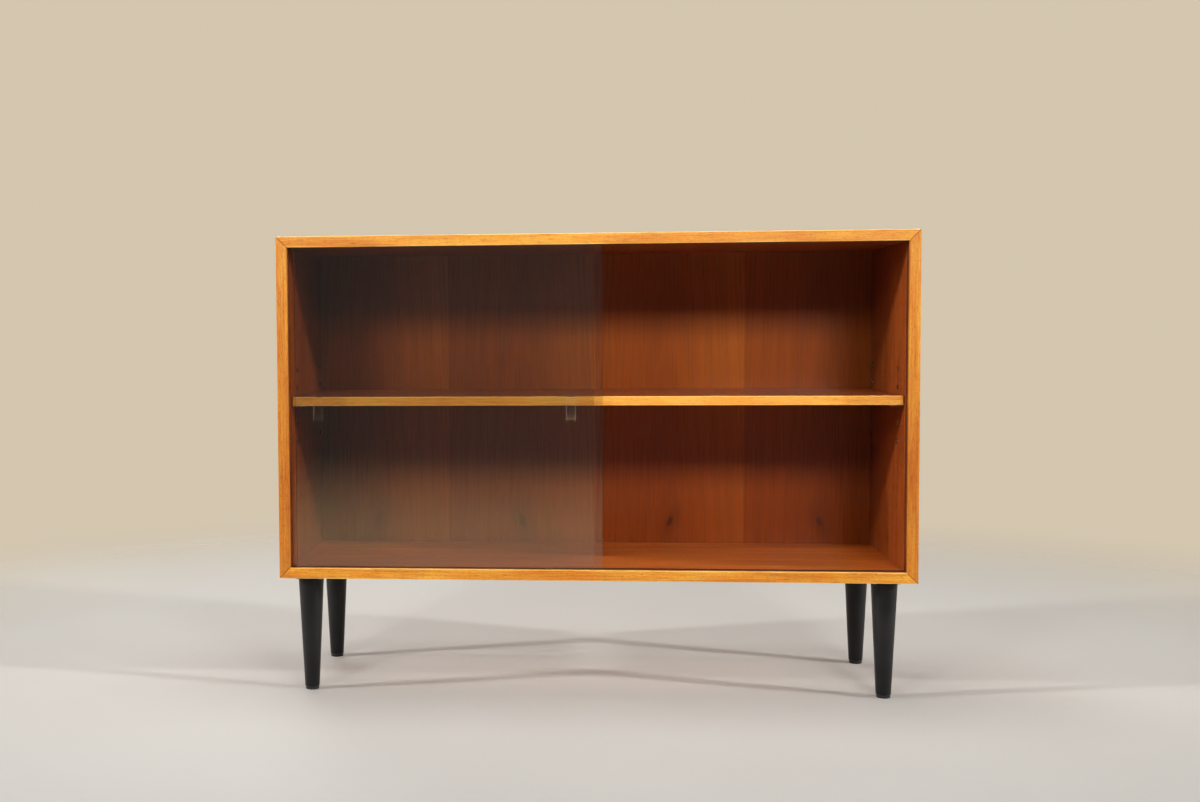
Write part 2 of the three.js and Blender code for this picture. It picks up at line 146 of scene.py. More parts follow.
class BookcaseColours(PropertyGroup):
    """Colours of the finishes."""

    honey_light: colour("Honey light", "Light streaks of the lippings", 236, 169, 56)
    honey_dark: colour("Honey dark", "Dark streaks of the lippings", 203, 117, 30)
    honey_pore: colour("Honey pore", "Pores of the lippings", 128, 62, 18)
    # Painted highlight on the lippings' rounded edges
    honey_arris: colour("Honey arris", "Painted highlight on the rounded edges of the lippings", 255, 214, 132)
    # Painted shade: multiplies the upright lippings, darker towards the bottom
    honey_painted_shade: colour("Honey deeper", "What deepens the upright lippings downwards", 232, 214, 205)
    shelf_light: colour("Shelf light", "Light streaks of the shelf's lipping", 252, 184, 78)
    shelf_dark: colour("Shelf dark", "Dark streaks of the shelf's lipping", 226, 142, 48)
    inner_light: colour("Inner light", "Light streaks of the veneer inside", 180, 92, 35)
    inner_dark: colour("Inner dark", "Dark streaks of the veneer inside", 136, 58, 20)
    inner_pore: colour("Inner pore", "Pores of the veneer inside", 86, 32, 12)
    # Painted shade: multiplies the sides inside, darker towards the back of the case
    side_painted_shade: colour("Side deeper", "What deepens the sides inside towards the back", 200, 204, 214)
    # Painted light: the floor of the case is lighter than the boards round it, for the light that falls
    # on it
    base_light: colour("Base light", "Light streaks of the veneer on the floor of the case", 226, 128, 49)
    base_dark: colour("Base dark", "Dark streaks of the veneer on the floor of the case", 189, 90, 32)
    outer_light: colour("Outer light", "Light streaks of the veneer outside", 204, 130, 68)
    outer_dark: colour("Outer dark", "Dark streaks of the veneer outside", 158, 86, 40)
    outer_pore: colour("Outer pore", "Pores of the veneer outside", 104, 52, 26)
    # Painted sheen: each leaf runs from its dark to its light tone towards its right side
    leaf_light: colour("Leaf light", "Light side of each leaf of the back", 180, 95, 22)
    leaf_dark: colour("Leaf dark", "Dark side of each leaf of the back", 138, 60, 10)
    # Painted shade: multiplies the lower half of the back
    leaf_painted_shade: colour("Leaf deeper", "What deepens the lower half of the back", 234, 218, 222)
    leaf_line: colour("Leaf line", "Growth lines and knots of the back", 74, 28, 12)
    track: colour("Track", "Dark plastic of the running tracks", 60, 29, 22)
    channel: colour("Channel", "Brown plastic of the side channels", 112, 52, 24)
    glass: colour("Glass", "Tint of a pane", 234, 233, 224)
    glass_edge: colour("Glass edge", "Tint of a pane's ground edges", 176, 206, 196)
    lacquer: colour("Lacquer", "Black lacquer of the legs", 13, 12, 12)
    glide: colour("Glide", "Black plastic of the glides", 22, 22, 23)
    sleeve: colour("Sleeve", "Burnished steel of the sleeves", 138, 129, 117)
    steel: colour("Steel", "Nickel of the shelf pins", 196, 194, 188)
    zinc: colour("Zinc", "Zinc of the leg plates and screws", 176, 176, 172)
    plywood: colour("Plywood", "Loose tongues in the mitres", 206, 168, 118)
    floor: colour("Floor", "Floor under the bookcase", 206, 203, 197)
    surround: colour("Surround", "Background round the bookcase", 212, 198, 175)


def settings():
    """The sizes and colours of this scene."""
    return bpy.context.scene.bookcase_sizes, bpy.context.scene.bookcase_colours


# Shapes


def grid_faces(rows, columns, close_rows=False, close_columns=False, first=0):
    """Quads between the neighbours of a grid that is numbered row by row."""
    row = np.arange(rows if close_rows else rows - 1)
    column = np.arange(columns if close_columns else columns - 1)
    row, column = np.meshgrid(row, column, indexing="ij")
    next_row, next_column = (row + 1) % rows, (column + 1) % columns
    corners = [
        row * columns + column,
        row * columns + next_column,
        next_row * columns + next_column,
        next_row * columns + column,
    ]
    return np.stack(corners, axis=-1).reshape(-1, 4) + first


def arc(centre, radius, start, end, steps=6):
    """Points on a circle: centre + radius * (cos, sin), from one angle to another in degrees."""
    angle = np.radians(np.linspace(start, end, steps + 1))
    return np.array(centre) + radius * np.stack([np.cos(angle), np.sin(angle)], axis=-1)


def eased_section(width, depth, eases):
    """Rectangle with quarter circles at its corners, as (across, deep) from its outer front corner.

    The eases belong to the corners inner rear, outer rear, outer front and inner front.
    """
    signs = [(1, 1), (-1, 1), (-1, -1), (1, -1)]
    parts = []
    for quarter, ((across, deep), ease) in enumerate(zip(signs, eases)):
        centre = (
            width / 2 + across * (width / 2 - ease),
            depth / 2 + deep * (depth / 2 - ease),
        )
        parts.append(arc(centre, ease, quarter * 90, quarter * 90 + 90))
    return np.concatenate(parts)


def bar(section, half_length, mitre, origin, along, inward):
    """Section carried along a bar. Both ends stand at half_length - mitre * across from its middle.

    The section's first number goes inward and its second one along +Y.
    """
    across, deep = section.T
    reach = np.array([-1.0, 1.0])[:, None] * (half_length - mitre * across)
    points = (
        np.array(origin)
        + reach[..., None] * np.array(along)
        + across[:, None] * np.array(inward)
        + deep[:, None] * np.array([0.0, 1.0, 0.0])
    )
    count = len(section)
    faces = grid_faces(2, count, close_columns=True).tolist()
    ends = [list(range(count)), list(range(count, 2 * count))]
    return points.reshape(-1, 3), faces + ends


def turned(profile, facets, origin, axis=(0.0, 0.0, 1.0), ring=False):
    """Profile of (radius, height) turned about an axis: origin + height * axis + radius * (cos, sin).

    The profile comes in parts. The cosine and sine go along two directions at right angles to the
    axis. Points at radius 0 merge into poles, and a ring's last point joins its first one.
    """
    axis = np.array(axis, dtype=float)
    side = np.cross(axis, [0.0, 1.0, 0.0])
    front = np.cross(axis, side)
    radius, height = np.concatenate(profile).T
    angle = np.linspace(0, 2 * np.pi, facets, endpoint=False)
    circle = np.cos(angle)[:, None] * side + np.sin(angle)[:, None] * front
    points = np.array(origin) + height[:, None, None] * axis + radius[:, None, None] * circle
    faces = grid_faces(len(radius), facets, close_rows=ring, close_columns=True)
    return points.reshape(-1, 3), faces.tolist()


def repeated(points, faces, places):
    """The same shell at each of many places: point + place, as one array."""
    places = np.array(places)
    moved = (points[None] + places[:, None]).reshape(-1, 3)
    steps = np.arange(len(places))[:, None, None] * len(points)
    return moved, (np.array(faces)[None] + steps).reshape(-1, 4).tolist()


def cross_head(radius, dome, shank, depth, countersunk):
    """Screw with a cross recess, its head up, as a height over (distance, angle).

    height = dome * (1 - (distance / radius)^2), and where the smaller of |x| and |y| is inside
    the cross it goes down towards the middle. Below the rim follow the underside and the shank.
    """
    facets = 32
    spread = np.array([0.0, 0.1, 0.2, 0.3, 0.4, 0.46, 0.54, 0.66, 0.8, 0.92, 1.0]) * radius
    angle = np.linspace(0, 2 * np.pi, facets, endpoint=False)
    distance, turn = np.meshgrid(spread, angle, indexing="ij")
    x, y = distance * np.cos(turn), distance * np.sin(turn)
    height = dome * (1 - (distance / radius) ** 2)
    in_cross = (np.minimum(abs(x), abs(y)) < 0.13 * radius) & (distance < 0.5 * radius)
    height = height - in_cross * (0.55 * radius - 0.45 * distance)
    top = np.stack([x, y, height], axis=-1)
    lower = 0.0 if countersunk else RIM_SHARE * radius
    under = 0.55 * radius if countersunk else lower
    below = [(radius, -lower), (shank, -under), (shank, -depth + shank), (0.0, -depth)]
    rings = np.array([[[r * np.cos(a), r * np.sin(a), h] for a in angle] for r, h in below])
    points = np.concatenate([top, rings])
    faces = grid_faces(len(points), facets, close_columns=True)
    return points.reshape(-1, 3), faces


def pane_sheet(low, high, middle, sizes):
    """Glass sheet whose front face is pressed in by the grinding wheel.

    The wheel's radius at x is wheel - hollow * (1 - (x / half width)^2), and the depth at (x, z) is
    sqrt(radius^2 - z^2) - (wheel - deepest), where that is above zero. Near the sides it is taken
    times sin(90 degrees * distance to the side / wall), so that the walls slope.
    """
    arris = sizes.pane_arris
    half = sizes.recess_width / 2
    wall = sizes.recess_wall
    reach = math.sqrt(2 * sizes.recess_wheel * sizes.recess_depth) + 1 * MM
    slope = np.linspace(0, wall, 5)
    floor = np.linspace(-half + wall, half - wall, 15)[1:-1]
    across = np.concatenate([-half + slope, floor, half - slope[::-1]])
    up = np.linspace(-reach, reach, 97)
    x = np.concatenate([[low[X] + arris], middle[0] + across, [high[X] - arris]])
    z = np.concatenate([[low[Z] + arris], middle[1] + up, [high[Z] - arris]])
    z, x = np.meshgrid(z, x, indexing="ij")
    from_middle, from_centre = x - middle[0], z - middle[1]
    radius = sizes.recess_wheel - sizes.recess_hollow * (1 - (from_middle / half) ** 2)
    rim = np.sqrt(np.maximum(radius**2 - from_centre**2, 0))
    pressed = rim - sizes.recess_wheel + sizes.recess_depth
    to_side = np.clip((half - abs(from_middle)) / wall, 0, 1)
    inside = abs(from_centre) <= reach
    depth = np.where(inside, np.maximum(pressed, 0), 0) * np.sin(to_side * np.pi / 2)
    front = np.stack([x, low[Y] + depth, z], axis=-1)
    back = np.stack([x, np.full_like(x, high[Y]), z], axis=-1)
    rows, columns = x.shape
    number = np.arange(rows * columns).reshape(rows, columns)
    edge = np.concatenate([number[0, :-1], number[:-1, -1], number[-1, :0:-1], number[:0:-1, 0]])
    row, column = edge // columns, edge % columns
    at_x = 1 + (column == columns - 1) - (column == 0)
    at_z = 1 + (row == rows - 1) - (row == 0)
    edge_x = np.choose(at_x, [low[X], x.ravel()[edge], high[X]])
    edge_z = np.choose(at_z, [low[Z], z.ravel()[edge], high[Z]])
    outer = [
        np.stack([edge_x, np.full_like(edge_x, y), edge_z], axis=-1)
        for y in (low[Y] + arris, high[Y] - arris)
    ]
    points = np.concatenate([front.reshape(-1, 3), outer[0], outer[1], back.reshape(-1, 3)])
    first, size = rows * columns, len(edge)
    ring = first + np.arange(size)
    rims = np.stack([edge, ring, ring + size, first + 2 * size + edge])
    bands = rims.ravel()[grid_faces(4, size, close_columns=True)]
    faces = np.concatenate(
        [grid_faces(rows, columns), grid_faces(rows, columns, first=first + 2 * size), bands]
    )
    return points, faces.tolist()


# Pieces


def shell_of(mesh, merging=0.5e-6):
    """Editable copy of a mesh with its doubles merged."""
    shell = bmesh.new()
    shell.from_mesh(mesh)
    bmesh.ops.remove_doubles(shell, verts=shell.verts, dist=merging)
    return shell


def raw_shell(points, faces):
    """Editable mesh of points and faces with its doubles merged."""
    mesh = bpy.data.meshes.new("raw")
    mesh.from_pydata(points.tolist(), [], faces)
    shell = shell_of(mesh)
    bpy.data.meshes.remove(mesh)
    return shell


def new_object(shell, name):
    """Object of a shell at the origin, in the scene."""
    mesh = bpy.data.meshes.new(name)
    shell.to_mesh(mesh)
    shell.free()
    piece = bpy.data.objects.new(name, mesh)
    bpy.context.scene.collection.objects.link(piece)
    return piece


def finish_shell(shell, name, body, nodes, sharp=SHARP, flat_sided=False):
    """Piece of a closed shell, with its faces outwards, riding on a body in place of CAD nodes.

    On a flat-sided piece the large faces keep their own normals, and only its eases look round.
    """
    bmesh.ops.recalc_face_normals(shell, faces=shell.faces)
    piece = new_object(shell, name)
    piece.data.shade_smooth()
    piece.data.set_sharp_from_angle(angle=math.radians(sharp))
    if flat_sided:
        weighted = piece.modifiers.new("flat faces", "WEIGHTED_NORMAL")
        weighted.keep_sharp = True
    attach(piece, body)
    if nodes:
        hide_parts(*nodes)
    return piece


def make_piece(name, body, shape, nodes=(), sharp=SHARP, flat_sided=False):
    """Piece of points and faces."""
    return finish_shell(raw_shell(*shape), name, body, nodes, sharp, flat_sided)


def make_lipping(node, along, side, outer, mitre, ease):
    """Lipping that runs along one axis, with its two front edges eased.

    Its outer face looks up the axis side where outer is 1 and down it where outer is -1.
    """
    low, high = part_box(node)
    size = high - low
    origin = [(a + b) / 2 for a, b in zip(low, high)]
    origin[Y] = low[Y]
    origin[side] = (high if outer > 0 else low)[side]
    rear = settings()[0].inner_ease
    section = eased_section(size[side], size[Y], (rear, rear, ease, ease))
    axes = np.eye(3)
    shape = bar(section, size[along] / 2, mitre, origin, axes[along], -outer * axes[side])
    return make_piece(node + "_solid", "case", shape, (node,), flat_sided=True)


def eased_copy(node, suffix, ease):
    """Copy of a node of the case with its triangles merged and its long edges rounded."""
    shell = shell_of(bpy.data.objects[node].data, 2e-6)
    bmesh.ops.dissolve_limit(
        shell, angle_limit=math.radians(0.5), verts=shell.verts, edges=shell.edges
    )
    corners = [
        edge
        for edge in shell.edges
        if len(edge.link_faces) == 2
        and edge.calc_length() > 12 * MM
        and edge.calc_face_angle() > math.radians(60)
    ]
    how = {"segments": 3, "profile": 0.5, "affect": "EDGES", "clamp_overlap": True}
    bmesh.ops.bevel(shell, geom=corners, offset=ease, **how)
    bmesh.ops.remove_doubles(shell, verts=shell.verts, dist=0.5e-6)
    return finish_shell(shell, node + suffix, "case", (node,), flat_sided=True)


def face_values(mesh, name):
    """The normals or the centres of all faces."""
    values = np.empty(len(mesh.polygons) * 3)
    mesh.polygons.foreach_get(name, values)
    return values.reshape(-1, 3)


def facing(piece, axis):
    """How far each face of a piece looks along an axis, from -1 to 1."""
    return face_values(piece.data, "normal")[:, axis]


def eased_faces(piece):
    """Where a face lies on a rounded edge: its normal runs along no axis."""
    return abs(face_values(piece.data, "normal")).max(axis=1) < 0.995


def lay_grain(piece, along, shift=(0.0, 0.0)):
    """UV map in metres: u runs along the grain and v across it.

    Each face takes the two axes that its main direction isn't. An end face takes both axes across.
    """
    mesh = piece.data
    main = np.argmax(abs(face_values(mesh, "normal")), axis=1)
    totals = np.empty(len(mesh.polygons), dtype=int)
    mesh.polygons.foreach_get("loop_total", totals)
    main = np.repeat(main, totals)
    corner = np.empty(len(mesh.loops), dtype=int)
    mesh.loops.foreach_get("vertex_index", corner)
    points = np.empty(len(mesh.vertices) * 3)
    mesh.vertices.foreach_get("co", points)
    points = points.reshape(-1, 3)[corner]
    at_end = main == along
    u_axis = np.where(at_end, (along + 1) % 3, along)
    v_axis = np.where(at_end, (along + 2) % 3, 3 - along - main)
    each = np.arange(len(corner))
    grain = np.stack([points[each, u_axis] + shift[0], points[each, v_axis] + shift[1]], axis=-1)
    layer = mesh.uv_layers.new(name="grain")
    layer.uv.foreach_set("vector", grain.ravel())


def paint(piece, *materials, index=None):
    """Puts the materials on a piece; index says which one each face has."""
    piece.data.materials.clear()
    for material in materials:
        piece.data.materials.append(material)
    if index is not None:
        piece.data.polygons.foreach_set("material_index", np.array(index, dtype=np.int32))


# Finishes


class Finish:
    """A new material and short calls for its nodes, so that a finish reads like a formula."""

    def __init__(self, name, kind="materials"):
        self.material = getattr(bpy.data, kind).new(name)
        self.material.use_nodes = True
        self.tree = self.material.node_tree
        self.tree.nodes.clear()

    def add(self, kind, options=None, **inputs):
        """A node of a kind, its options and its inputs, with _ for a space in their names."""
        node = self.tree.nodes.new("ShaderNode" + kind)
        for option, value in (options or {}).items():
            setattr(node, option, value)
        for socket, value in inputs.items():
            self.put(node.inputs[socket.replace("_", " ")], value)
        return node

    def put(self, socket, value):
        """Links or sets one socket."""
        if isinstance(value, bpy.types.NodeSocket):
            self.tree.links.new(value, socket)
        elif socket.type == "RGBA" and len(value) == 3:
            socket.default_value = (*value, 1.0)
        else:
            socket.default_value = value

    def calc(self, operation, *values):
        """One step of arithmetic."""
        node = self.add("Math", {"operation": operation})
        for socket, value in zip(node.inputs, values):
            self.put(socket, value)
        return node.outputs[0]

    def weigh(self, first, *others):
        """Sum of values that each come with their weight."""
        total = self.calc("MULTIPLY", *first)
        for value, weight in others:
            total = self.calc("MULTIPLY_ADD", value, weight, total)
        return total

    def grain(self):
        """The piece's own UV map, along and across the grain in metres."""
        return self.add("UVMap", {"uv_map": "grain"}).outputs["UV"]

    def place(self):
        """Place on the object in metres."""
        return self.add("TexCoord").outputs["Object"]

    def split(self, vector):
        """The three numbers of a place."""
        return self.add("SeparateXYZ", Vector=vector).outputs

    def join(self, x, y, z):
        """A place from three numbers."""
        return self.add("CombineXYZ", X=x, Y=y, Z=z).outputs[0]

    def noise(self, vector, stretch, detail, rough, distortion=0.0):
        """Noise with so many bumps to the metre along each axis."""
        node = self.add("VectorMath", {"operation": "MULTIPLY"})
        self.put(node.inputs[0], vector)
        self.put(node.inputs[1], stretch)
        inputs = {"Scale": 1.0, "Detail": detail, "Roughness": rough, "Distortion": distortion}
        return self.add("TexNoise", Vector=node.outputs[0], **inputs).outputs["Fac"]

    def spread(self, value, low, high, new_low=0.0, new_high=1.0, smooth=False):
        """Moves the span from low to high onto another span and holds it there."""
        kind = {"interpolation_type": "SMOOTHSTEP"} if smooth else {}
        node = self.add("MapRange", {"clamp": True, **kind})
        for socket, number in zip(node.inputs, (value, low, high, new_low, new_high)):
            self.put(socket, number)
        return node.outputs[0]

    def blend(self, share, first, second, kind="MIX"):
        """Mix of two colours."""
        node = self.add("Mix", {"data_type": "RGBA", "blend_type": kind})
        self.put(node.inputs[0], share)
        self.put(node.inputs[6], first)
        self.put(node.inputs[7], second)
        return node.outputs[2]

    def bump(self, height, distance, strength):
        """Normal from a height."""
        return self.add("Bump", Height=height, Distance=distance, Strength=strength).outputs[0]

    def surface(self, shade, marks, roughness, **more):
        """Principled shader whose roughness follows the marks, as the whole material."""
        rough = self.spread(marks, 0.3, 0.7, *roughness)
        return self.end(self.add("BsdfPrincipled", Base_Color=shade, Roughness=rough, **more))

    def mixed(self, share, first, second):
        """Two shaders mixed."""
        node = self.add("MixShader")
        for socket, value in zip(node.inputs, (share, first.outputs[0], second.outputs[0])):
            self.put(socket, value)
        return node

    def end(self, shader, kind="OutputMaterial"):
        """The material with this shader as its surface."""
        self.add(kind, Surface=shader.outputs[0])
        return self.material


def wood_streaks(make, tones, flecking=0.75):
    """Colour, fibres and bump of straight wood: noises drawn out along the grain, and dark pores.

    The tone is a weighted sum of a broad noise, streaks and fibres, with ruddy patches. Pores are the
    peaks of two noises, one of fine short dashes and one of longer rarer ones.
    """
    light, dark, pore = tones
    grain = make.grain()
    broad = make.noise(grain, (3.4, 40.0, 1.0), 3.0, 0.6, 0.5)
    streak = make.noise(grain, (9.0, 330.0, 1.0), 3.0, 0.65, 0.3)
    fibre = make.noise(grain, (40.0, 1300.0, 1.0), 2.0, 0.6)
    sums = make.weigh((fibre, 0.25), (streak, 0.45), (broad, 0.45))
    share = make.spread(sums, 0.48, 0.68)
    shade = make.blend(share, dark, light)
    ruddy = make.spread(make.noise(grain, (16.0, 90.0, 1.0), 3.0, 0.6, 0.4), 0.46, 0.62)
    shade = make.blend(make.calc("MULTIPLY", ruddy, 0.5), shade, (1.0, 0.78, 0.5), "MULTIPLY")
    fine = make.spread(make.noise(grain, (170.0, 1700.0, 1.0), 1.0, 0.5), 0.57, 0.68)
    long = make.spread(make.noise(grain, (62.0, 760.0, 1.0), 2.0, 0.55), 0.6, 0.7)
    pores = make.calc("MAXIMUM", make.calc("MULTIPLY", fine, 0.8), long)
    shade = make.blend(make.calc("MULTIPLY", pores, flecking), shade, pore)
    height = make.calc("MULTIPLY_ADD", pores, -0.8, fibre)
    return shade, fibre, make.bump(height, 0.00012, 0.5)


def wood(name, tones, roughness, gloss, flecking=0.75, painted_shade=None):
    """Straight-grained wood under a thin satin finish, which may take painted shade that darkens it
    towards the back.
    """
    make = Finish(name)
    shade, fibre, normal = wood_streaks(make, tones, flecking)
    # Painted shade: darker towards the back of the case, where less light reaches
    if painted_shade is not None:
        share = make.spread(make.split(make.place())[Y], -0.13, 0.13, smooth=True)
        shade = make.blend(share, shade, painted_shade, "MULTIPLY")
    return make.surface(shade, fibre, roughness, Specular_IOR_Level=gloss, Normal=normal)


def lipping_wood(name, tones, middle, joint, painted_shade=None):
    """Honey wood that darkens in a fine glue line at the mitres.

    A mitre is where |x| - |z - middle| has the value joint. Upright lippings take painted shade
    that darkens them towards their lower half.
    """
    make = Finish(name)
    shade, fibre, normal = wood_streaks(make, tones)
    x, _, z = make.split(make.place())
    # Painted shade: the upright lippings darken towards the bottom, where less light falls on them
    if painted_shade is not None:
        share = make.spread(z, middle - 0.12, middle + 0.24, 1.0, 0.0, smooth=True)
        shade = make.blend(share, shade, painted_shade, "MULTIPLY")
    lift = make.calc("ABSOLUTE", make.calc("SUBTRACT", z, middle))
    off = make.calc("SUBTRACT", make.calc("ABSOLUTE", x), lift)
    off = make.calc("ABSOLUTE", make.calc("SUBTRACT", off, joint))
    shade = make.blend(make.spread(off, 0.0004, 0.0016, 0.75, 0.0), shade, tones[2])
    return make.surface(shade, fibre, (0.34, 0.48), Specular_IOR_Level=0.35, Normal=normal)


def end_grain(name, tones):
    """Edge of a board: pale core between thin veneers, with short fibres."""
    make = Finish(name)
    light, dark, _ = tones
    grain = make.grain()
    chips = make.noise(grain, (320.0, 900.0, 1.0), 3.0, 0.65)
    layers = make.noise(grain, (12.0, 420.0, 1.0), 2.0, 0.5)
    share = make.spread(make.calc("ADD", chips, layers), 0.75, 1.25)
    shade, normal = make.blend(share, dark, light), make.bump(chips, 0.0002, 0.4)
    return make.surface(shade, chips, (0.55, 0.75), Specular_IOR_Level=0.25, Normal=normal)


def leaf_veneer(name, colours, leaf_width, first_joint, knot_height):
    """Book-matched veneer of the back.

    Leaf number is the whole part of (x - joint) / width. Every second leaf is mirrored, so the
    pattern reads the ping-pong of that number. Growth lines are lines of equal z + steepness *
    (distance from the leaf's middle)^2, so they arch in the middle and run up at the joints. One
    knot stands at each leaf's middle. A painted sheen lightens each leaf towards its right side,
    and painted shade darkens the corners and the lower half of the back.
    """
    make = Finish(name)
    x, _, z = make.split(make.place())
    number = make.calc("DIVIDE", make.calc("SUBTRACT", x, first_joint), leaf_width)
    fraction = make.calc("FRACT", number)
    mirrored = make.calc("PINGPONG", number, 1.0)
    beside = make.calc("MULTIPLY", make.calc("SUBTRACT", mirrored, 0.5), leaf_width)
    leaf = make.join(beside, z, 0.0)

    wander = make.noise(leaf, (9.0, 3.0, 1.0), 2.0, 0.5)
    square = make.calc("MULTIPLY", beside, beside)
    flame = make.calc("MULTIPLY_ADD", square, 105.0, z)
    flame = make.calc("MULTIPLY_ADD", wander, 0.16, flame)
    rings = make.noise(make.join(flame, beside, 0.0), (8.0, 4.0, 1.0), 1.5, 0.5)
    fibre = make.noise(leaf, (500.0, 7.0, 1.0), 2.0, 0.6, 0.2)
    streak = make.noise(leaf, (170.0, 2.0, 1.0), 2.0, 0.6, 0.2)
    broad = make.noise(leaf, (20.0, 1.6, 1.0), 2.0, 0.5, 0.5)

    sums = make.weigh((fibre, 0.08), (rings, 0.55), (streak, 0.15), (broad, 0.22))
    figure = make.spread(sums, 0.36, 0.64)
    # Painted sheen: each leaf lightens towards its right side, as the veneer's sheen shows in one view
    share = make.calc("MULTIPLY_ADD", make.spread(fraction, 0.5, 1.0), 0.45, 0.22)
    shade = make.blend(share, colours.leaf_dark, colours.leaf_light)
    figured = make.blend(figure, (0.86, 0.88, 0.92), (1.15, 1.13, 1.09))
    shade = make.blend(1.0, shade, figured, "MULTIPLY")
    # Painted shade: the back darkens towards its corners, where the sides shade it
    share = make.spread(make.calc("ABSOLUTE", x), 0.35, 0.53)
    shade = make.blend(share, shade, (0.62, 0.62, 0.68), "MULTIPLY")
    # Painted shade: the lower half of the back is darker, where the shelf keeps light off it
    share = make.spread(z, knot_height + 0.12, knot_height + 0.3, 1.0, 0.0, smooth=True)
    shade = make.blend(share, shade, colours.leaf_painted_shade, "MULTIPLY")

    up = make.calc("SUBTRACT", z, knot_height)
    hook = make.calc("MULTIPLY_ADD", up, -0.35, beside)
    flat = make.calc("DIVIDE", hook, make.spread(x, -0.02, 0.02, 0.008, 0.006))
    tall = make.calc("DIVIDE", up, make.spread(x, -0.02, 0.02, 0.015, 0.0105))
    away = make.calc("SQRT", make.weigh((tall, tall), (flat, flat)))
    ripple = make.noise(leaf, (160.0, 110.0, 1.0), 2.0, 0.5)
    away = make.calc("ADD", away, make.calc("MULTIPLY", ripple, 0.7))
    knot = make.spread(away, 0.9, 1.7, 0.9, 0.0, smooth=True)
    halo = make.spread(away, 1.2, 4.5, 0.3, 0.0, smooth=True)
    shade = make.blend(make.calc("MAXIMUM", knot, halo), shade, colours.leaf_line)
    seam = make.calc("MINIMUM", fraction, make.calc("SUBTRACT", 1.0, fraction))
    share = make.spread(seam, 0.0008, 0.003, 0.35, 0.0)
    shade, normal = make.blend(share, shade, colours.leaf_line), make.bump(fibre, 0.00004, 0.2)
    return make.surface(shade, fibre, (0.26, 0.3), Specular_IOR_Level=0.3, Normal=normal)


def moulded(name, shade, roughness):
    """Moulded plastic with a faint fine texture."""
    make = Finish(name)
    place = make.place()
    fine = make.noise(place, (1400.0, 1400.0, 1400.0), 2.0, 0.6)
    broad = make.noise(place, (14.0, 60.0, 14.0), 2.0, 0.5)
    lighter = [min(1.0, part * 1.5 + 0.004) for part in shade]
    shade = make.blend(make.spread(broad, 0.35, 0.65), shade, lighter)
    normal = make.bump(fine, 0.00003, 0.3)
    return make.surface(shade, fine, roughness, Specular_IOR_Level=0.4, Normal=normal)


def lacquered(name, shade):
    """Black satin lacquer over turned wood: the grain runs up and shows faintly."""
    make = Finish(name)
    place = make.place()
    grain = make.noise(place, (420.0, 420.0, 9.0), 3.0, 0.6)
    wear = make.noise(place, (22.0, 22.0, 12.0), 3.0, 0.55)
    lighter = [part * 1.9 + 0.002 for part in shade]
    shade = make.blend(make.spread(wear, 0.4, 0.75), shade, lighter)
    normal = make.bump(grain, 0.00015, 0.35)
    return make.surface(shade, wear, (0.34, 0.5), Specular_IOR_Level=0.3, Normal=normal)


def metal(name, shade, roughness, stretch, scale):
    """Plated steel with drawn or mottled marks."""
    make = Finish(name)
    place = make.place()
    marks = make.noise(place, stretch, 3.0, 0.6)
    patches = make.noise(place, (scale, scale, scale), 2.0, 0.5)
    darker = [part * 0.72 for part in shade]
    shade = make.blend(make.spread(patches, 0.35, 0.65), darker, shade)
    normal = make.bump(marks, 0.00003, 0.3)
    return make.surface(shade, marks, roughness, Metallic=1.0, Normal=normal)


def clear_glass(name, tint, roughness, wave, clearness, bending=1.58):
    """Clear or ground sheet. Lamps shine through it, so what stands behind it is lit."""
    make = Finish(name)
    ripple = make.noise(make.place(), (5.0, 5.0, 3.0), 2.0, 0.5)
    sheet = make.add(
        "BsdfPrincipled",
        Base_Color=make.blend(ripple, tint, [min(1.0, part * 1.05) for part in tint]),
        Roughness=roughness,
        IOR=bending,
        Transmission_Weight=clearness,
        Normal=make.bump(ripple, wave, 0.2),
    )
    through = make.add("BsdfTransparent", Color=[math.sqrt(part) for part in tint])
    path = make.add("LightPath").outputs
    lamp_share = make.calc("MAXIMUM", path["Is Shadow Ray"], path["Is Diffuse Ray"])
    return make.end(make.mixed(lamp_share, sheet, through))


def plywood(name, shade):
    """Thin plies across the tongue."""
    make = Finish(name)
    plies = make.noise(make.place(), (700.0, 30.0, 700.0), 2.0, 0.5)
    darker = [part * 0.55 for part in shade]
    shade = make.blend(make.spread(plies, 0.4, 0.6), darker, shade)
    return make.surface(shade, plies, (0.6, 0.75))


def once(name, maker, *values):
    """Each finish is made once and shared by its pieces."""
    return bpy.data.materials.get(name) or maker(name, *values)


def tones_of(colours, name, pore=None):
    """Light, dark and pore tone of a wood. Its pores may be those of another one."""
    names = (name + "_light", name + "_dark", (pore or name) + "_pore")
    return [getattr(colours, each) for each in names]


def veneer_inside(colours):
    """Finish of the boards that face the inside."""
    return once("veneer_inside", wood, tones_of(colours, "inner"), (0.26, 0.34), 0.45)


def board_edge(colours):
    """Finish of the boards' edges."""
    return once("board_edge", end_grain, tones_of(colours, "outer"))


def arris_highlight(colours, name):
    """Finish of a lipping's rounded edges, paler than the rest of it: a painted highlight."""
    light, dark, _ = tones_of(colours, name, "honey")
    return once(name + "_arris", wood, (colours.honey_arris, light, dark), (0.24, 0.32), 0.5, 0.3)


def case_middle():
    """Height of the middle of the case and half its outer height."""
    low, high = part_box("case_bottom")[0][Z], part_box("case_top")[1][Z]
    return (low + high) / 2, (high - low) / 2


# Operators


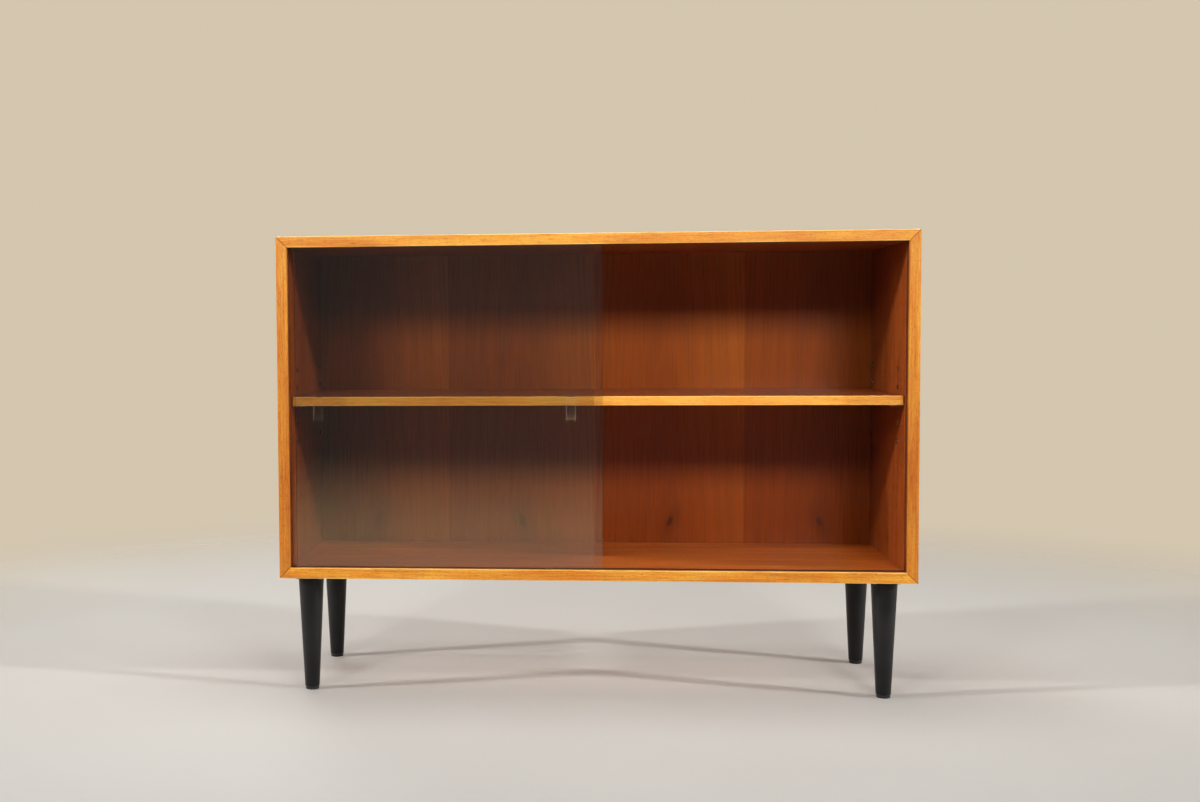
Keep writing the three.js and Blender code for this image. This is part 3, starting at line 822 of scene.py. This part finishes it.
class BOOKCASE_OT_lippings(Operator):
    """Makes the four mitred lippings round the front of the case"""

    bl_idname = "bookcase.lippings"
    bl_label = "Lippings"

    def execute(self, context):
        sizes, colours = settings()
        middle, half_height = case_middle()
        half_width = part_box("lipping_top")[1][X]
        joint = half_width - half_height
        values = (tones_of(colours, "honey"), middle, joint)
        level = once("honey_lipping", lipping_wood, *values)
        # The upright lippings take painted shade that darkens them downwards
        upright = once("honey_upright", lipping_wood, *values, colours.honey_painted_shade)
        for number, name in enumerate(("top", "bottom", "left", "right")):
            along, side = (Z, X) if name in SIDES else (X, Z)
            outer = 1 if name in ("top", "right") else -1
            piece = make_lipping("lipping_" + name, along, side, outer, 1.0, sizes.lipping_ease)
            lay_grain(piece, along, (0.37 * number, 0.11 * number))
            if name in SIDES:
                paint(piece, upright)
            else:
                # The rounded edges get the painted highlight
                paint(piece, level, arris_highlight(colours, "honey"), index=eased_faces(piece))
        return {"FINISHED"}


class BOOKCASE_OT_boards(Operator):
    """Makes the four veneered boards of the case"""

    bl_idname = "bookcase.boards"
    bl_label = "Case boards"

    def execute(self, context):
        sizes, colours = settings()
        outside = once("veneer_outside", wood, tones_of(colours, "outer"), (0.38, 0.5), 0.35)
        # Painted light: the floor of the case takes lighter tones of the inside veneer
        base = once("veneer_base_painted_light", wood, tones_of(colours, "base", "inner"), (0.36, 0.48), 0.3)
        # The sides inside take painted shade that darkens them towards the back
        values = (tones_of(colours, "inner"), (0.26, 0.34), 0.45, 0.75, colours.side_painted_shade)
        upright = once("veneer_side", wood, *values)
        boards = {
            "top": (Z, -1, veneer_inside(colours)),
            "bottom": (Z, 1, base),
            "side_left": (X, 1, upright),
            "side_right": (X, -1, upright),
        }
        for number, (name, (side, inward, inside)) in enumerate(boards.items()):
            piece = eased_copy("case_" + name, "_veneered", sizes.board_ease)
            lay_grain(piece, X if side == Z else Z, (0.61 * number, 0.23 * number))
            looks = facing(piece, side) * inward
            index = np.select([looks > 0.5, looks < -0.5], [0, 1], 2)
            paint(piece, inside, outside, board_edge(colours), index=index)
        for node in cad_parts:
            if node.startswith("corner_tongue"):
                paint(bpy.data.objects[node], once("tongue_plywood", plywood, colours.plywood))
        return {"FINISHED"}


class BOOKCASE_OT_back(Operator):
    """Makes the back panel with its matched leaves of veneer"""

    bl_idname = "bookcase.back"
    bl_label = "Back panel"

    def execute(self, context):
        sizes, colours = settings()
        piece = eased_copy("back_panel", "_veneered", sizes.back_ease)
        lay_grain(piece, Z)
        knot_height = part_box("case_bottom")[1][Z] + sizes.knot_rise
        places = (sizes.leaf_width, sizes.leaf_joint, knot_height)
        leaves = once("back_leaves", leaf_veneer, colours, *places)
        rear = once("back_rear", wood, tones_of(colours, "outer"), (0.5, 0.62), 0.25)
        paint(piece, leaves, rear, index=facing(piece, Y) >= -0.5)
        return {"FINISHED"}


class BOOKCASE_OT_tracks(Operator):
    """Makes the twin-slot tracks and the side channels"""

    bl_idname = "bookcase.tracks"
    bl_label = "Tracks"

    def execute(self, context):
        sizes, colours = settings()
        plastic = once("track_moulding", moulded, colours.track, (0.3, 0.42))
        upright = once("channel_moulding", moulded, colours.channel, (0.3, 0.42))
        for node in ("track_bottom", "track_top", "side_channel_left", "side_channel_right"):
            piece = eased_copy(node, "_moulded", sizes.track_ease)
            paint(piece, upright if "channel" in node else plastic)
        return {"FINISHED"}


class BOOKCASE_OT_shelf(Operator):
    """Makes the shelf board and its lipping"""

    bl_idname = "bookcase.shelf"
    bl_label = "Shelf"

    def execute(self, context):
        sizes, colours = settings()
        board = eased_copy("shelf_board", "_veneered", sizes.board_ease)
        lay_grain(board, X, (2.9, 0.7))
        index = abs(facing(board, Z)) < 0.5
        paint(board, veneer_inside(colours), board_edge(colours), index=index)
        lipping = make_lipping("shelf_lipping", X, Z, 1, 0.0, sizes.shelf_ease)
        lay_grain(lipping, X, (3.3, 0.9))
        honey = once("shelf_honey", wood, tones_of(colours, "shelf", "honey"), (0.34, 0.48), 0.3, 0.5)
        # The rounded edges get the painted highlight
        paint(lipping, honey, arris_highlight(colours, "shelf"), index=eased_faces(lipping))
        return {"FINISHED"}


class BOOKCASE_OT_panes(Operator):
    """Makes the two sliding panes with their finger recesses"""

    bl_idname = "bookcase.panes"
    bl_label = "Sliding panes"

    def execute(self, context):
        sizes, colours = settings()
        middle, _ = case_middle()
        clear = once("pane_glass", clear_glass, colours.glass, 0.0, 0.00002, 1.0)
        edge = once("pane_ground_edge", clear_glass, colours.glass_edge, 0.06, 0.0, 1.0)
        hollow = once("pane_recess_hollow", clear_glass, colours.glass, 0.02, 0.0, 0.991, 1.25)
        walls = once("pane_recess_walls", clear_glass, colours.glass, 0.1, 0.0, 0.88)
        half, skin, behind = sizes.recess_width / 2, 0.01 * MM, 1.0 * MM
        for name, side in SIDES.items():
            node = "door_pane_" + name
            low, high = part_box(node)
            recess = ((high if side > 0 else low)[X] - side * sizes.recess_inset, middle)
            shape = pane_sheet(low, high, recess, sizes)
            body = "door_" + name
            piece = make_piece(
                node + "_glass", body, shape, (node,), sharp=25, flat_sided=True
            )
            centres = face_values(piece.data, "center")
            steep = abs(facing(piece, Y)) < 0.9
            aside, above = abs(centres[:, [X, Z]] - recess).T
            pressed = (centres[:, Y] > low[Y] + skin) & (centres[:, Y] < high[Y] - behind)
            near = pressed & (aside < half) & (above < sizes.recess_wheel)
            wall = near & (aside > half - sizes.recess_wall)
            index = np.select([wall, near, steep], [3, 2, 1], 0)
            paint(piece, clear, edge, hollow, walls, index=index)
        return {"FINISHED"}


def seat(node, side):
    """Middle of the outer end of a sleeve or pin, its radius and its length."""
    low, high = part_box(node)
    centre = (low + high) / 2
    centre[X] = (high if side > 0 else low)[X]
    return centre, (high - low)[Z] / 2, (high - low)[X]


class BOOKCASE_OT_supports(Operator):
    """Makes the sleeves in the sides and the pins that carry the shelf"""

    bl_idname = "bookcase.supports"
    bl_label = "Sleeves and pins"

    def execute(self, context):
        sizes, colours = settings()
        drawn = (900.0, 90.0, 90.0)
        sleeve_steel = once("sleeve_nickel", metal, colours.sleeve, (0.16, 0.24), drawn, 300.0)
        pin_steel = once("pin_nickel", metal, colours.steel, (0.18, 0.3), drawn, 300.0)
        bore, barrel = sizes.sleeve_bore / 2, sizes.sleeve_barrel / 2
        rim, round_over, flat = 0.8 * MM, 0.6 * MM, 0.1 * MM
        for (name, side), column in itertools.product(SIDES.items(), COLUMNS):
            axis = (-side, 0.0, 0.0)
            for row in ROWS:
                node = f"pin_sleeve_{name}_{column}_{row}"
                centre, flange, deep = seat(node, side)
                flare = flange - bore - round_over - flat
                profile = (
                    [(bore, 0.0), (barrel, 0.0), (barrel, deep - rim), (flange, deep - rim)],
                    arc((flange - round_over, deep - round_over), round_over, 0, 90, 5),
                    arc((bore + flare, deep - flare), flare, 90, 180, 5),
                )
                shape = turned(profile, 28, centre, axis, ring=True)
                piece = make_piece(node + "_nickel", "case", shape, (node,))
                paint(piece, sleeve_steel)
            node = f"shelf_pin_{name}_{column}"
            centre, nose, deep = seat(node, side)
            shank, step, ease = nose - 0.3 * MM, 8.3 * MM, sizes.pin_ease
            profile = (
                [(0.0, 0.0), (shank - ease, 0.0), (shank, ease), (shank, step), (nose, step)],
                arc((nose - ease, deep - ease), ease, 0, 90, 5),
                [(0.0, deep)],
            )
            shape = turned(profile, 32, centre, axis)
            paint(make_piece(node + "_nickel", "case", shape, (node,)), pin_steel)
        return {"FINISHED"}


class BOOKCASE_OT_legs(Operator):
    """Makes the turned legs with their glides and finishes their plates"""

    bl_idname = "bookcase.legs"
    bl_label = "Legs"

    def execute(self, context):
        sizes, colours = settings()
        lacquer = once("leg_lacquer", lacquered, colours.lacquer)
        plastic = once("glide_moulding", moulded, colours.glide, (0.34, 0.48))
        zinc = once("plate_zinc", metal, colours.zinc, (0.32, 0.46), (60.0, 60.0, 60.0), 180.0)
        gap, bolt, bolt_point = 0.3 * MM, 4.0 * MM, 1.0 * MM
        nail, nail_length = 1.8 * MM, 12.0 * MM
        for depth, side in CORNERS:
            corner = f"{depth}_{side}"
            node = "leg_" + corner
            low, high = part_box(node)
            centre = ((low[X] + high[X]) / 2, (low[Y] + high[Y]) / 2, 0.0)
            head, foot, ease = (high - low)[X] / 2, sizes.leg_foot / 2, sizes.leg_ease
            top, bottom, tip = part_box("leg_plate_" + corner)[0][Z] - gap, low[Z], high[Z]
            slope = math.degrees(math.atan2(head - foot, top - bottom))
            profile = (
                [(0.0, bottom + nail_length), (nail, bottom + nail_length), (nail, bottom)],
                arc((foot - ease, bottom + ease), ease, -90, -slope, 6),
                arc((head - ease, top - ease), ease, -slope, 90, 6),
                [(bolt, top), (bolt, tip - bolt_point), (bolt - bolt_point, tip), (0.0, tip)],
            )
            shape = turned(profile, 72, centre)
            paint(make_piece(node + "_turned", "case", shape, (node,)), lacquer)
            node = "leg_glide_" + corner
            low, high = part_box(node)
            pad, ease, shoulder = (high - low)[X] / 2, sizes.glide_ease, 5.0 * MM
            upper_ease, pin = 0.4 * MM, 1.5 * MM
            profile = (
                [(0.0, 0.0)],
                arc((pad - ease, ease), ease, -90, 0, 5),
                arc((pad - upper_ease, shoulder - upper_ease), upper_ease, 0, 90, 3),
                [(pin, shoulder), (pin, high[Z]), (0.0, high[Z])],
            )
            shape = turned(profile, 48, centre)
            paint(make_piece(node + "_moulded", "case", shape, (node,)), plastic)
            paint(bpy.data.objects["leg_plate_" + corner], zinc)
        return {"FINISHED"}


class BOOKCASE_OT_screws(Operator):
    """Makes the screws of the back panel and of the leg plates"""

    bl_idname = "bookcase.screws"
    bl_label = "Screws"

    def execute(self, context):
        sizes, colours = settings()
        zinc = once("screw_zinc", metal, colours.zinc, (0.25, 0.38), (400.0, 400.0, 400.0), 500.0)
        middle, half_height = case_middle()
        reach, from_edge, aside, apart = 471 * MM, 14 * MM, 536 * MM, 221 * MM
        drop = half_height - from_edge
        rows = (middle - drop, middle + drop)
        places = list(itertools.product(np.linspace(-reach, reach, 6), rows))
        rows = (middle - apart, middle, middle + apart)
        places += list(itertools.product((-aside, aside), rows))
        sunk = 0.25 * MM
        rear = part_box("back_panel")[1][Y] - sunk
        points, faces = cross_head(
            sizes.screw_head / 2, dome=0.0, shank=1.5 * MM, depth=12 * MM, countersunk=True
        )
        points = points[:, [0, 2, 1]] * [1, 1, -1]
        shape = repeated(points, faces, [(x, rear, z) for x, z in places])
        paint(make_piece("back_panel_screws", "case", shape), zinc)
        radius = sizes.plate_screw_head / 2
        points, faces = cross_head(
            radius, dome=1.1 * MM, shank=2.0 * MM, depth=11 * MM, countersunk=False
        )
        from_bolt = 20 * MM
        corners = list(itertools.product((-from_bolt, from_bolt), repeat=2))
        places = []
        for depth, side in CORNERS:
            low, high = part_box(f"leg_plate_{depth}_{side}")
            x, y = (low[X] + high[X]) / 2, (low[Y] + high[Y]) / 2
            places += [(x + a, y + b, low[Z] - RIM_SHARE * radius) for a, b in corners]
        shape = repeated(points * [1, -1, -1], faces, places)
        paint(make_piece("leg_plate_screws", "case", shape), zinc)
        return {"FINISHED"}


def floor_finish(name, shade):
    """Pale floor that fades out far from the object, with a faint mottle and a soft sheen."""
    make = Finish(name)
    place = make.place()
    mottle = make.noise(place, (3.0, 3.0, 1.0), 3.0, 0.5)
    darker = [part * 0.975 for part in shade]
    sheet = make.add(
        "BsdfPrincipled",
        Base_Color=make.blend(make.spread(mottle, 0.35, 0.65), darker, shade),
        Roughness=make.spread(mottle, 0.3, 0.7, 0.6, 0.7),
        Specular_IOR_Level=0.12,
    )
    away = make.add("VectorMath", {"operation": "LENGTH"})
    make.put(away.inputs[0], place)
    fade_share = make.spread(away.outputs["Value"], 1.15, 2.5, smooth=True)
    return make.end(make.mixed(fade_share, sheet, make.add("BsdfTransparent")))


def soft_lamp(name, place, target, size, watts, beam=180.0):
    """Soft box that looks at a target, with a beam of so many degrees."""
    name = "lamp_" + name
    data = bpy.data.lights.new(name, "AREA")
    data.shape = "RECTANGLE"
    data.size, data.size_y = size
    data.energy = watts
    data.spread = math.radians(beam)
    lamp = bpy.data.objects.new(name, data)
    lamp.location = place
    lamp.rotation_euler = (Vector(target) - Vector(place)).to_track_quat("-Z", "Y").to_euler()
    bpy.context.scene.collection.objects.link(lamp)


def studio_world(surround):
    """Pale background that the camera sees, and glass and gloss too, over a dim even fill.

    Ahead of the case and above the floor the room is dark for gloss, as in a studio: its share is
    one smooth step of the direction's y times one of its z.
    """
    make = Finish("studio", "worlds")
    _, ahead, up = make.split(make.add("TexCoord").outputs["Generated"])
    ahead_share = make.spread(ahead, 0.2, -0.4, smooth=True)
    up_share = make.spread(up, -0.148, -0.08, smooth=True)
    dark_share = make.calc("MULTIPLY", ahead_share, up_share)
    path = make.add("LightPath").outputs
    mirrored = make.blend(dark_share, tone(226, 196, 160), (0.072, 0.086, 0.088))
    shade = make.blend(path["Is Glossy Ray"], surround, mirrored)
    seen = make.add("Background", Color=shade, Strength=1.0)
    fill = make.add("Background", Color=(1.0, 0.985, 0.96), Strength=FILL_STRENGTH)
    ray = make.calc("MAXIMUM", path["Is Camera Ray"], path["Is Glossy Ray"])
    ray = make.calc("MAXIMUM", ray, path["Is Transmission Ray"])
    return make.end(make.mixed(ray, fill, seen), "OutputWorld")


class BOOKCASE_OT_stage(Operator):
    """Makes the floor, the lamps, the background and the camera"""

    bl_idname = "bookcase.stage"
    bl_label = "Stage"

    def execute(self, context):
        _, colours = settings()
        scene = context.scene
        rings = [(radius, 0.0) for radius in (5.0, 3.0, 1.5, 0.6, 0.0)]
        floor = new_object(raw_shell(*turned([rings], 64, (0.0, 0.0, 0.0))), "floor")
        paint(floor, once("floor_pale", floor_finish, colours.floor))

        scene.world = studio_world(colours.surround)

        target = (0.0, 0.0, 0.45)
        front = (0.7, 0.55)
        soft_lamp("front_left", (-1.54, -3.17, 2.05), (-0.25, 0.0, 0.72), front, 4.35, 50.0)
        soft_lamp("front_right", (1.13, -3.17, 2.05), (0.25, 0.0, 0.72), front, 4.6, 50.0)
        soft_lamp("side_left", (-6.0, -1.8, 2.15), target, (0.3, 0.3), 270.0)
        soft_lamp("side_right", (6.0, -1.8, 2.15), target, (0.3, 0.3), 290.0)
        soft_lamp("above", (0.0, 0.15, 3.2), (0.0, 0.15, 0.0), (1.4, 0.8), 32.0)
        soft_lamp("behind", (-1.6, 2.6, 2.6), target, (1.6, 1.6), 38.0)

        data = bpy.data.cameras.new("camera")
        data.lens = CAMERA_LENS
        data.sensor_width = 36.0
        data.shift_x, data.shift_y = CAMERA_SHIFT
        data.clip_start, data.clip_end = 0.05, 100.0
        camera = bpy.data.objects.new("camera", data)
        turn = Matrix((CAMERA_RIGHT, CAMERA_UP, -Vector(CAMERA_FORWARD))).transposed()
        camera.matrix_world = Matrix.Translation(CAMERA_PLACE) @ turn.to_4x4()
        scene.collection.objects.link(camera)
        scene.camera = camera
        scene.view_settings.view_transform = "Standard"
        return {"FINISHED"}


OPERATORS = (
    BOOKCASE_OT_stage,
    BOOKCASE_OT_lippings,
    BOOKCASE_OT_boards,
    BOOKCASE_OT_back,
    BOOKCASE_OT_tracks,
    BOOKCASE_OT_shelf,
    BOOKCASE_OT_panes,
    BOOKCASE_OT_supports,
    BOOKCASE_OT_legs,
    BOOKCASE_OT_screws,
)


class BOOKCASE_PT_pieces(Panel):
    """Lists the pieces, sizes and colours of the bookcase"""

    bl_idname = "BOOKCASE_PT_pieces"
    bl_label = "Bookcase"
    bl_space_type = "VIEW_3D"
    bl_region_type = "UI"
    bl_category = "Bookcase"

    def draw(self, context):
        for operator in OPERATORS:
            self.layout.operator(operator.bl_idname)
        for group in (context.scene.bookcase_sizes, context.scene.bookcase_colours):
            for name in group.__annotations__:
                self.layout.prop(group, name)


CLASSES = (BookcaseSizes, BookcaseColours, *OPERATORS, BOOKCASE_PT_pieces)


def register():
    """Registers the classes and gives the scene its sizes and colours."""
    for each in CLASSES:
        bpy.utils.register_class(each)
    bpy.types.Scene.bookcase_sizes = PointerProperty(type=BookcaseSizes)
    bpy.types.Scene.bookcase_colours = PointerProperty(type=BookcaseColours)


def unregister():
    """Takes back what register gave."""
    del bpy.types.Scene.bookcase_colours
    del bpy.types.Scene.bookcase_sizes
    for each in reversed(CLASSES):
        bpy.utils.unregister_class(each)


def main():
    """Makes the whole scene."""
    register()
    for operator in OPERATORS:
        group, name = operator.bl_idname.split(".")
        getattr(getattr(bpy.ops, group), name)()
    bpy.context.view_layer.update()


if __name__ == "__main__":
    main()
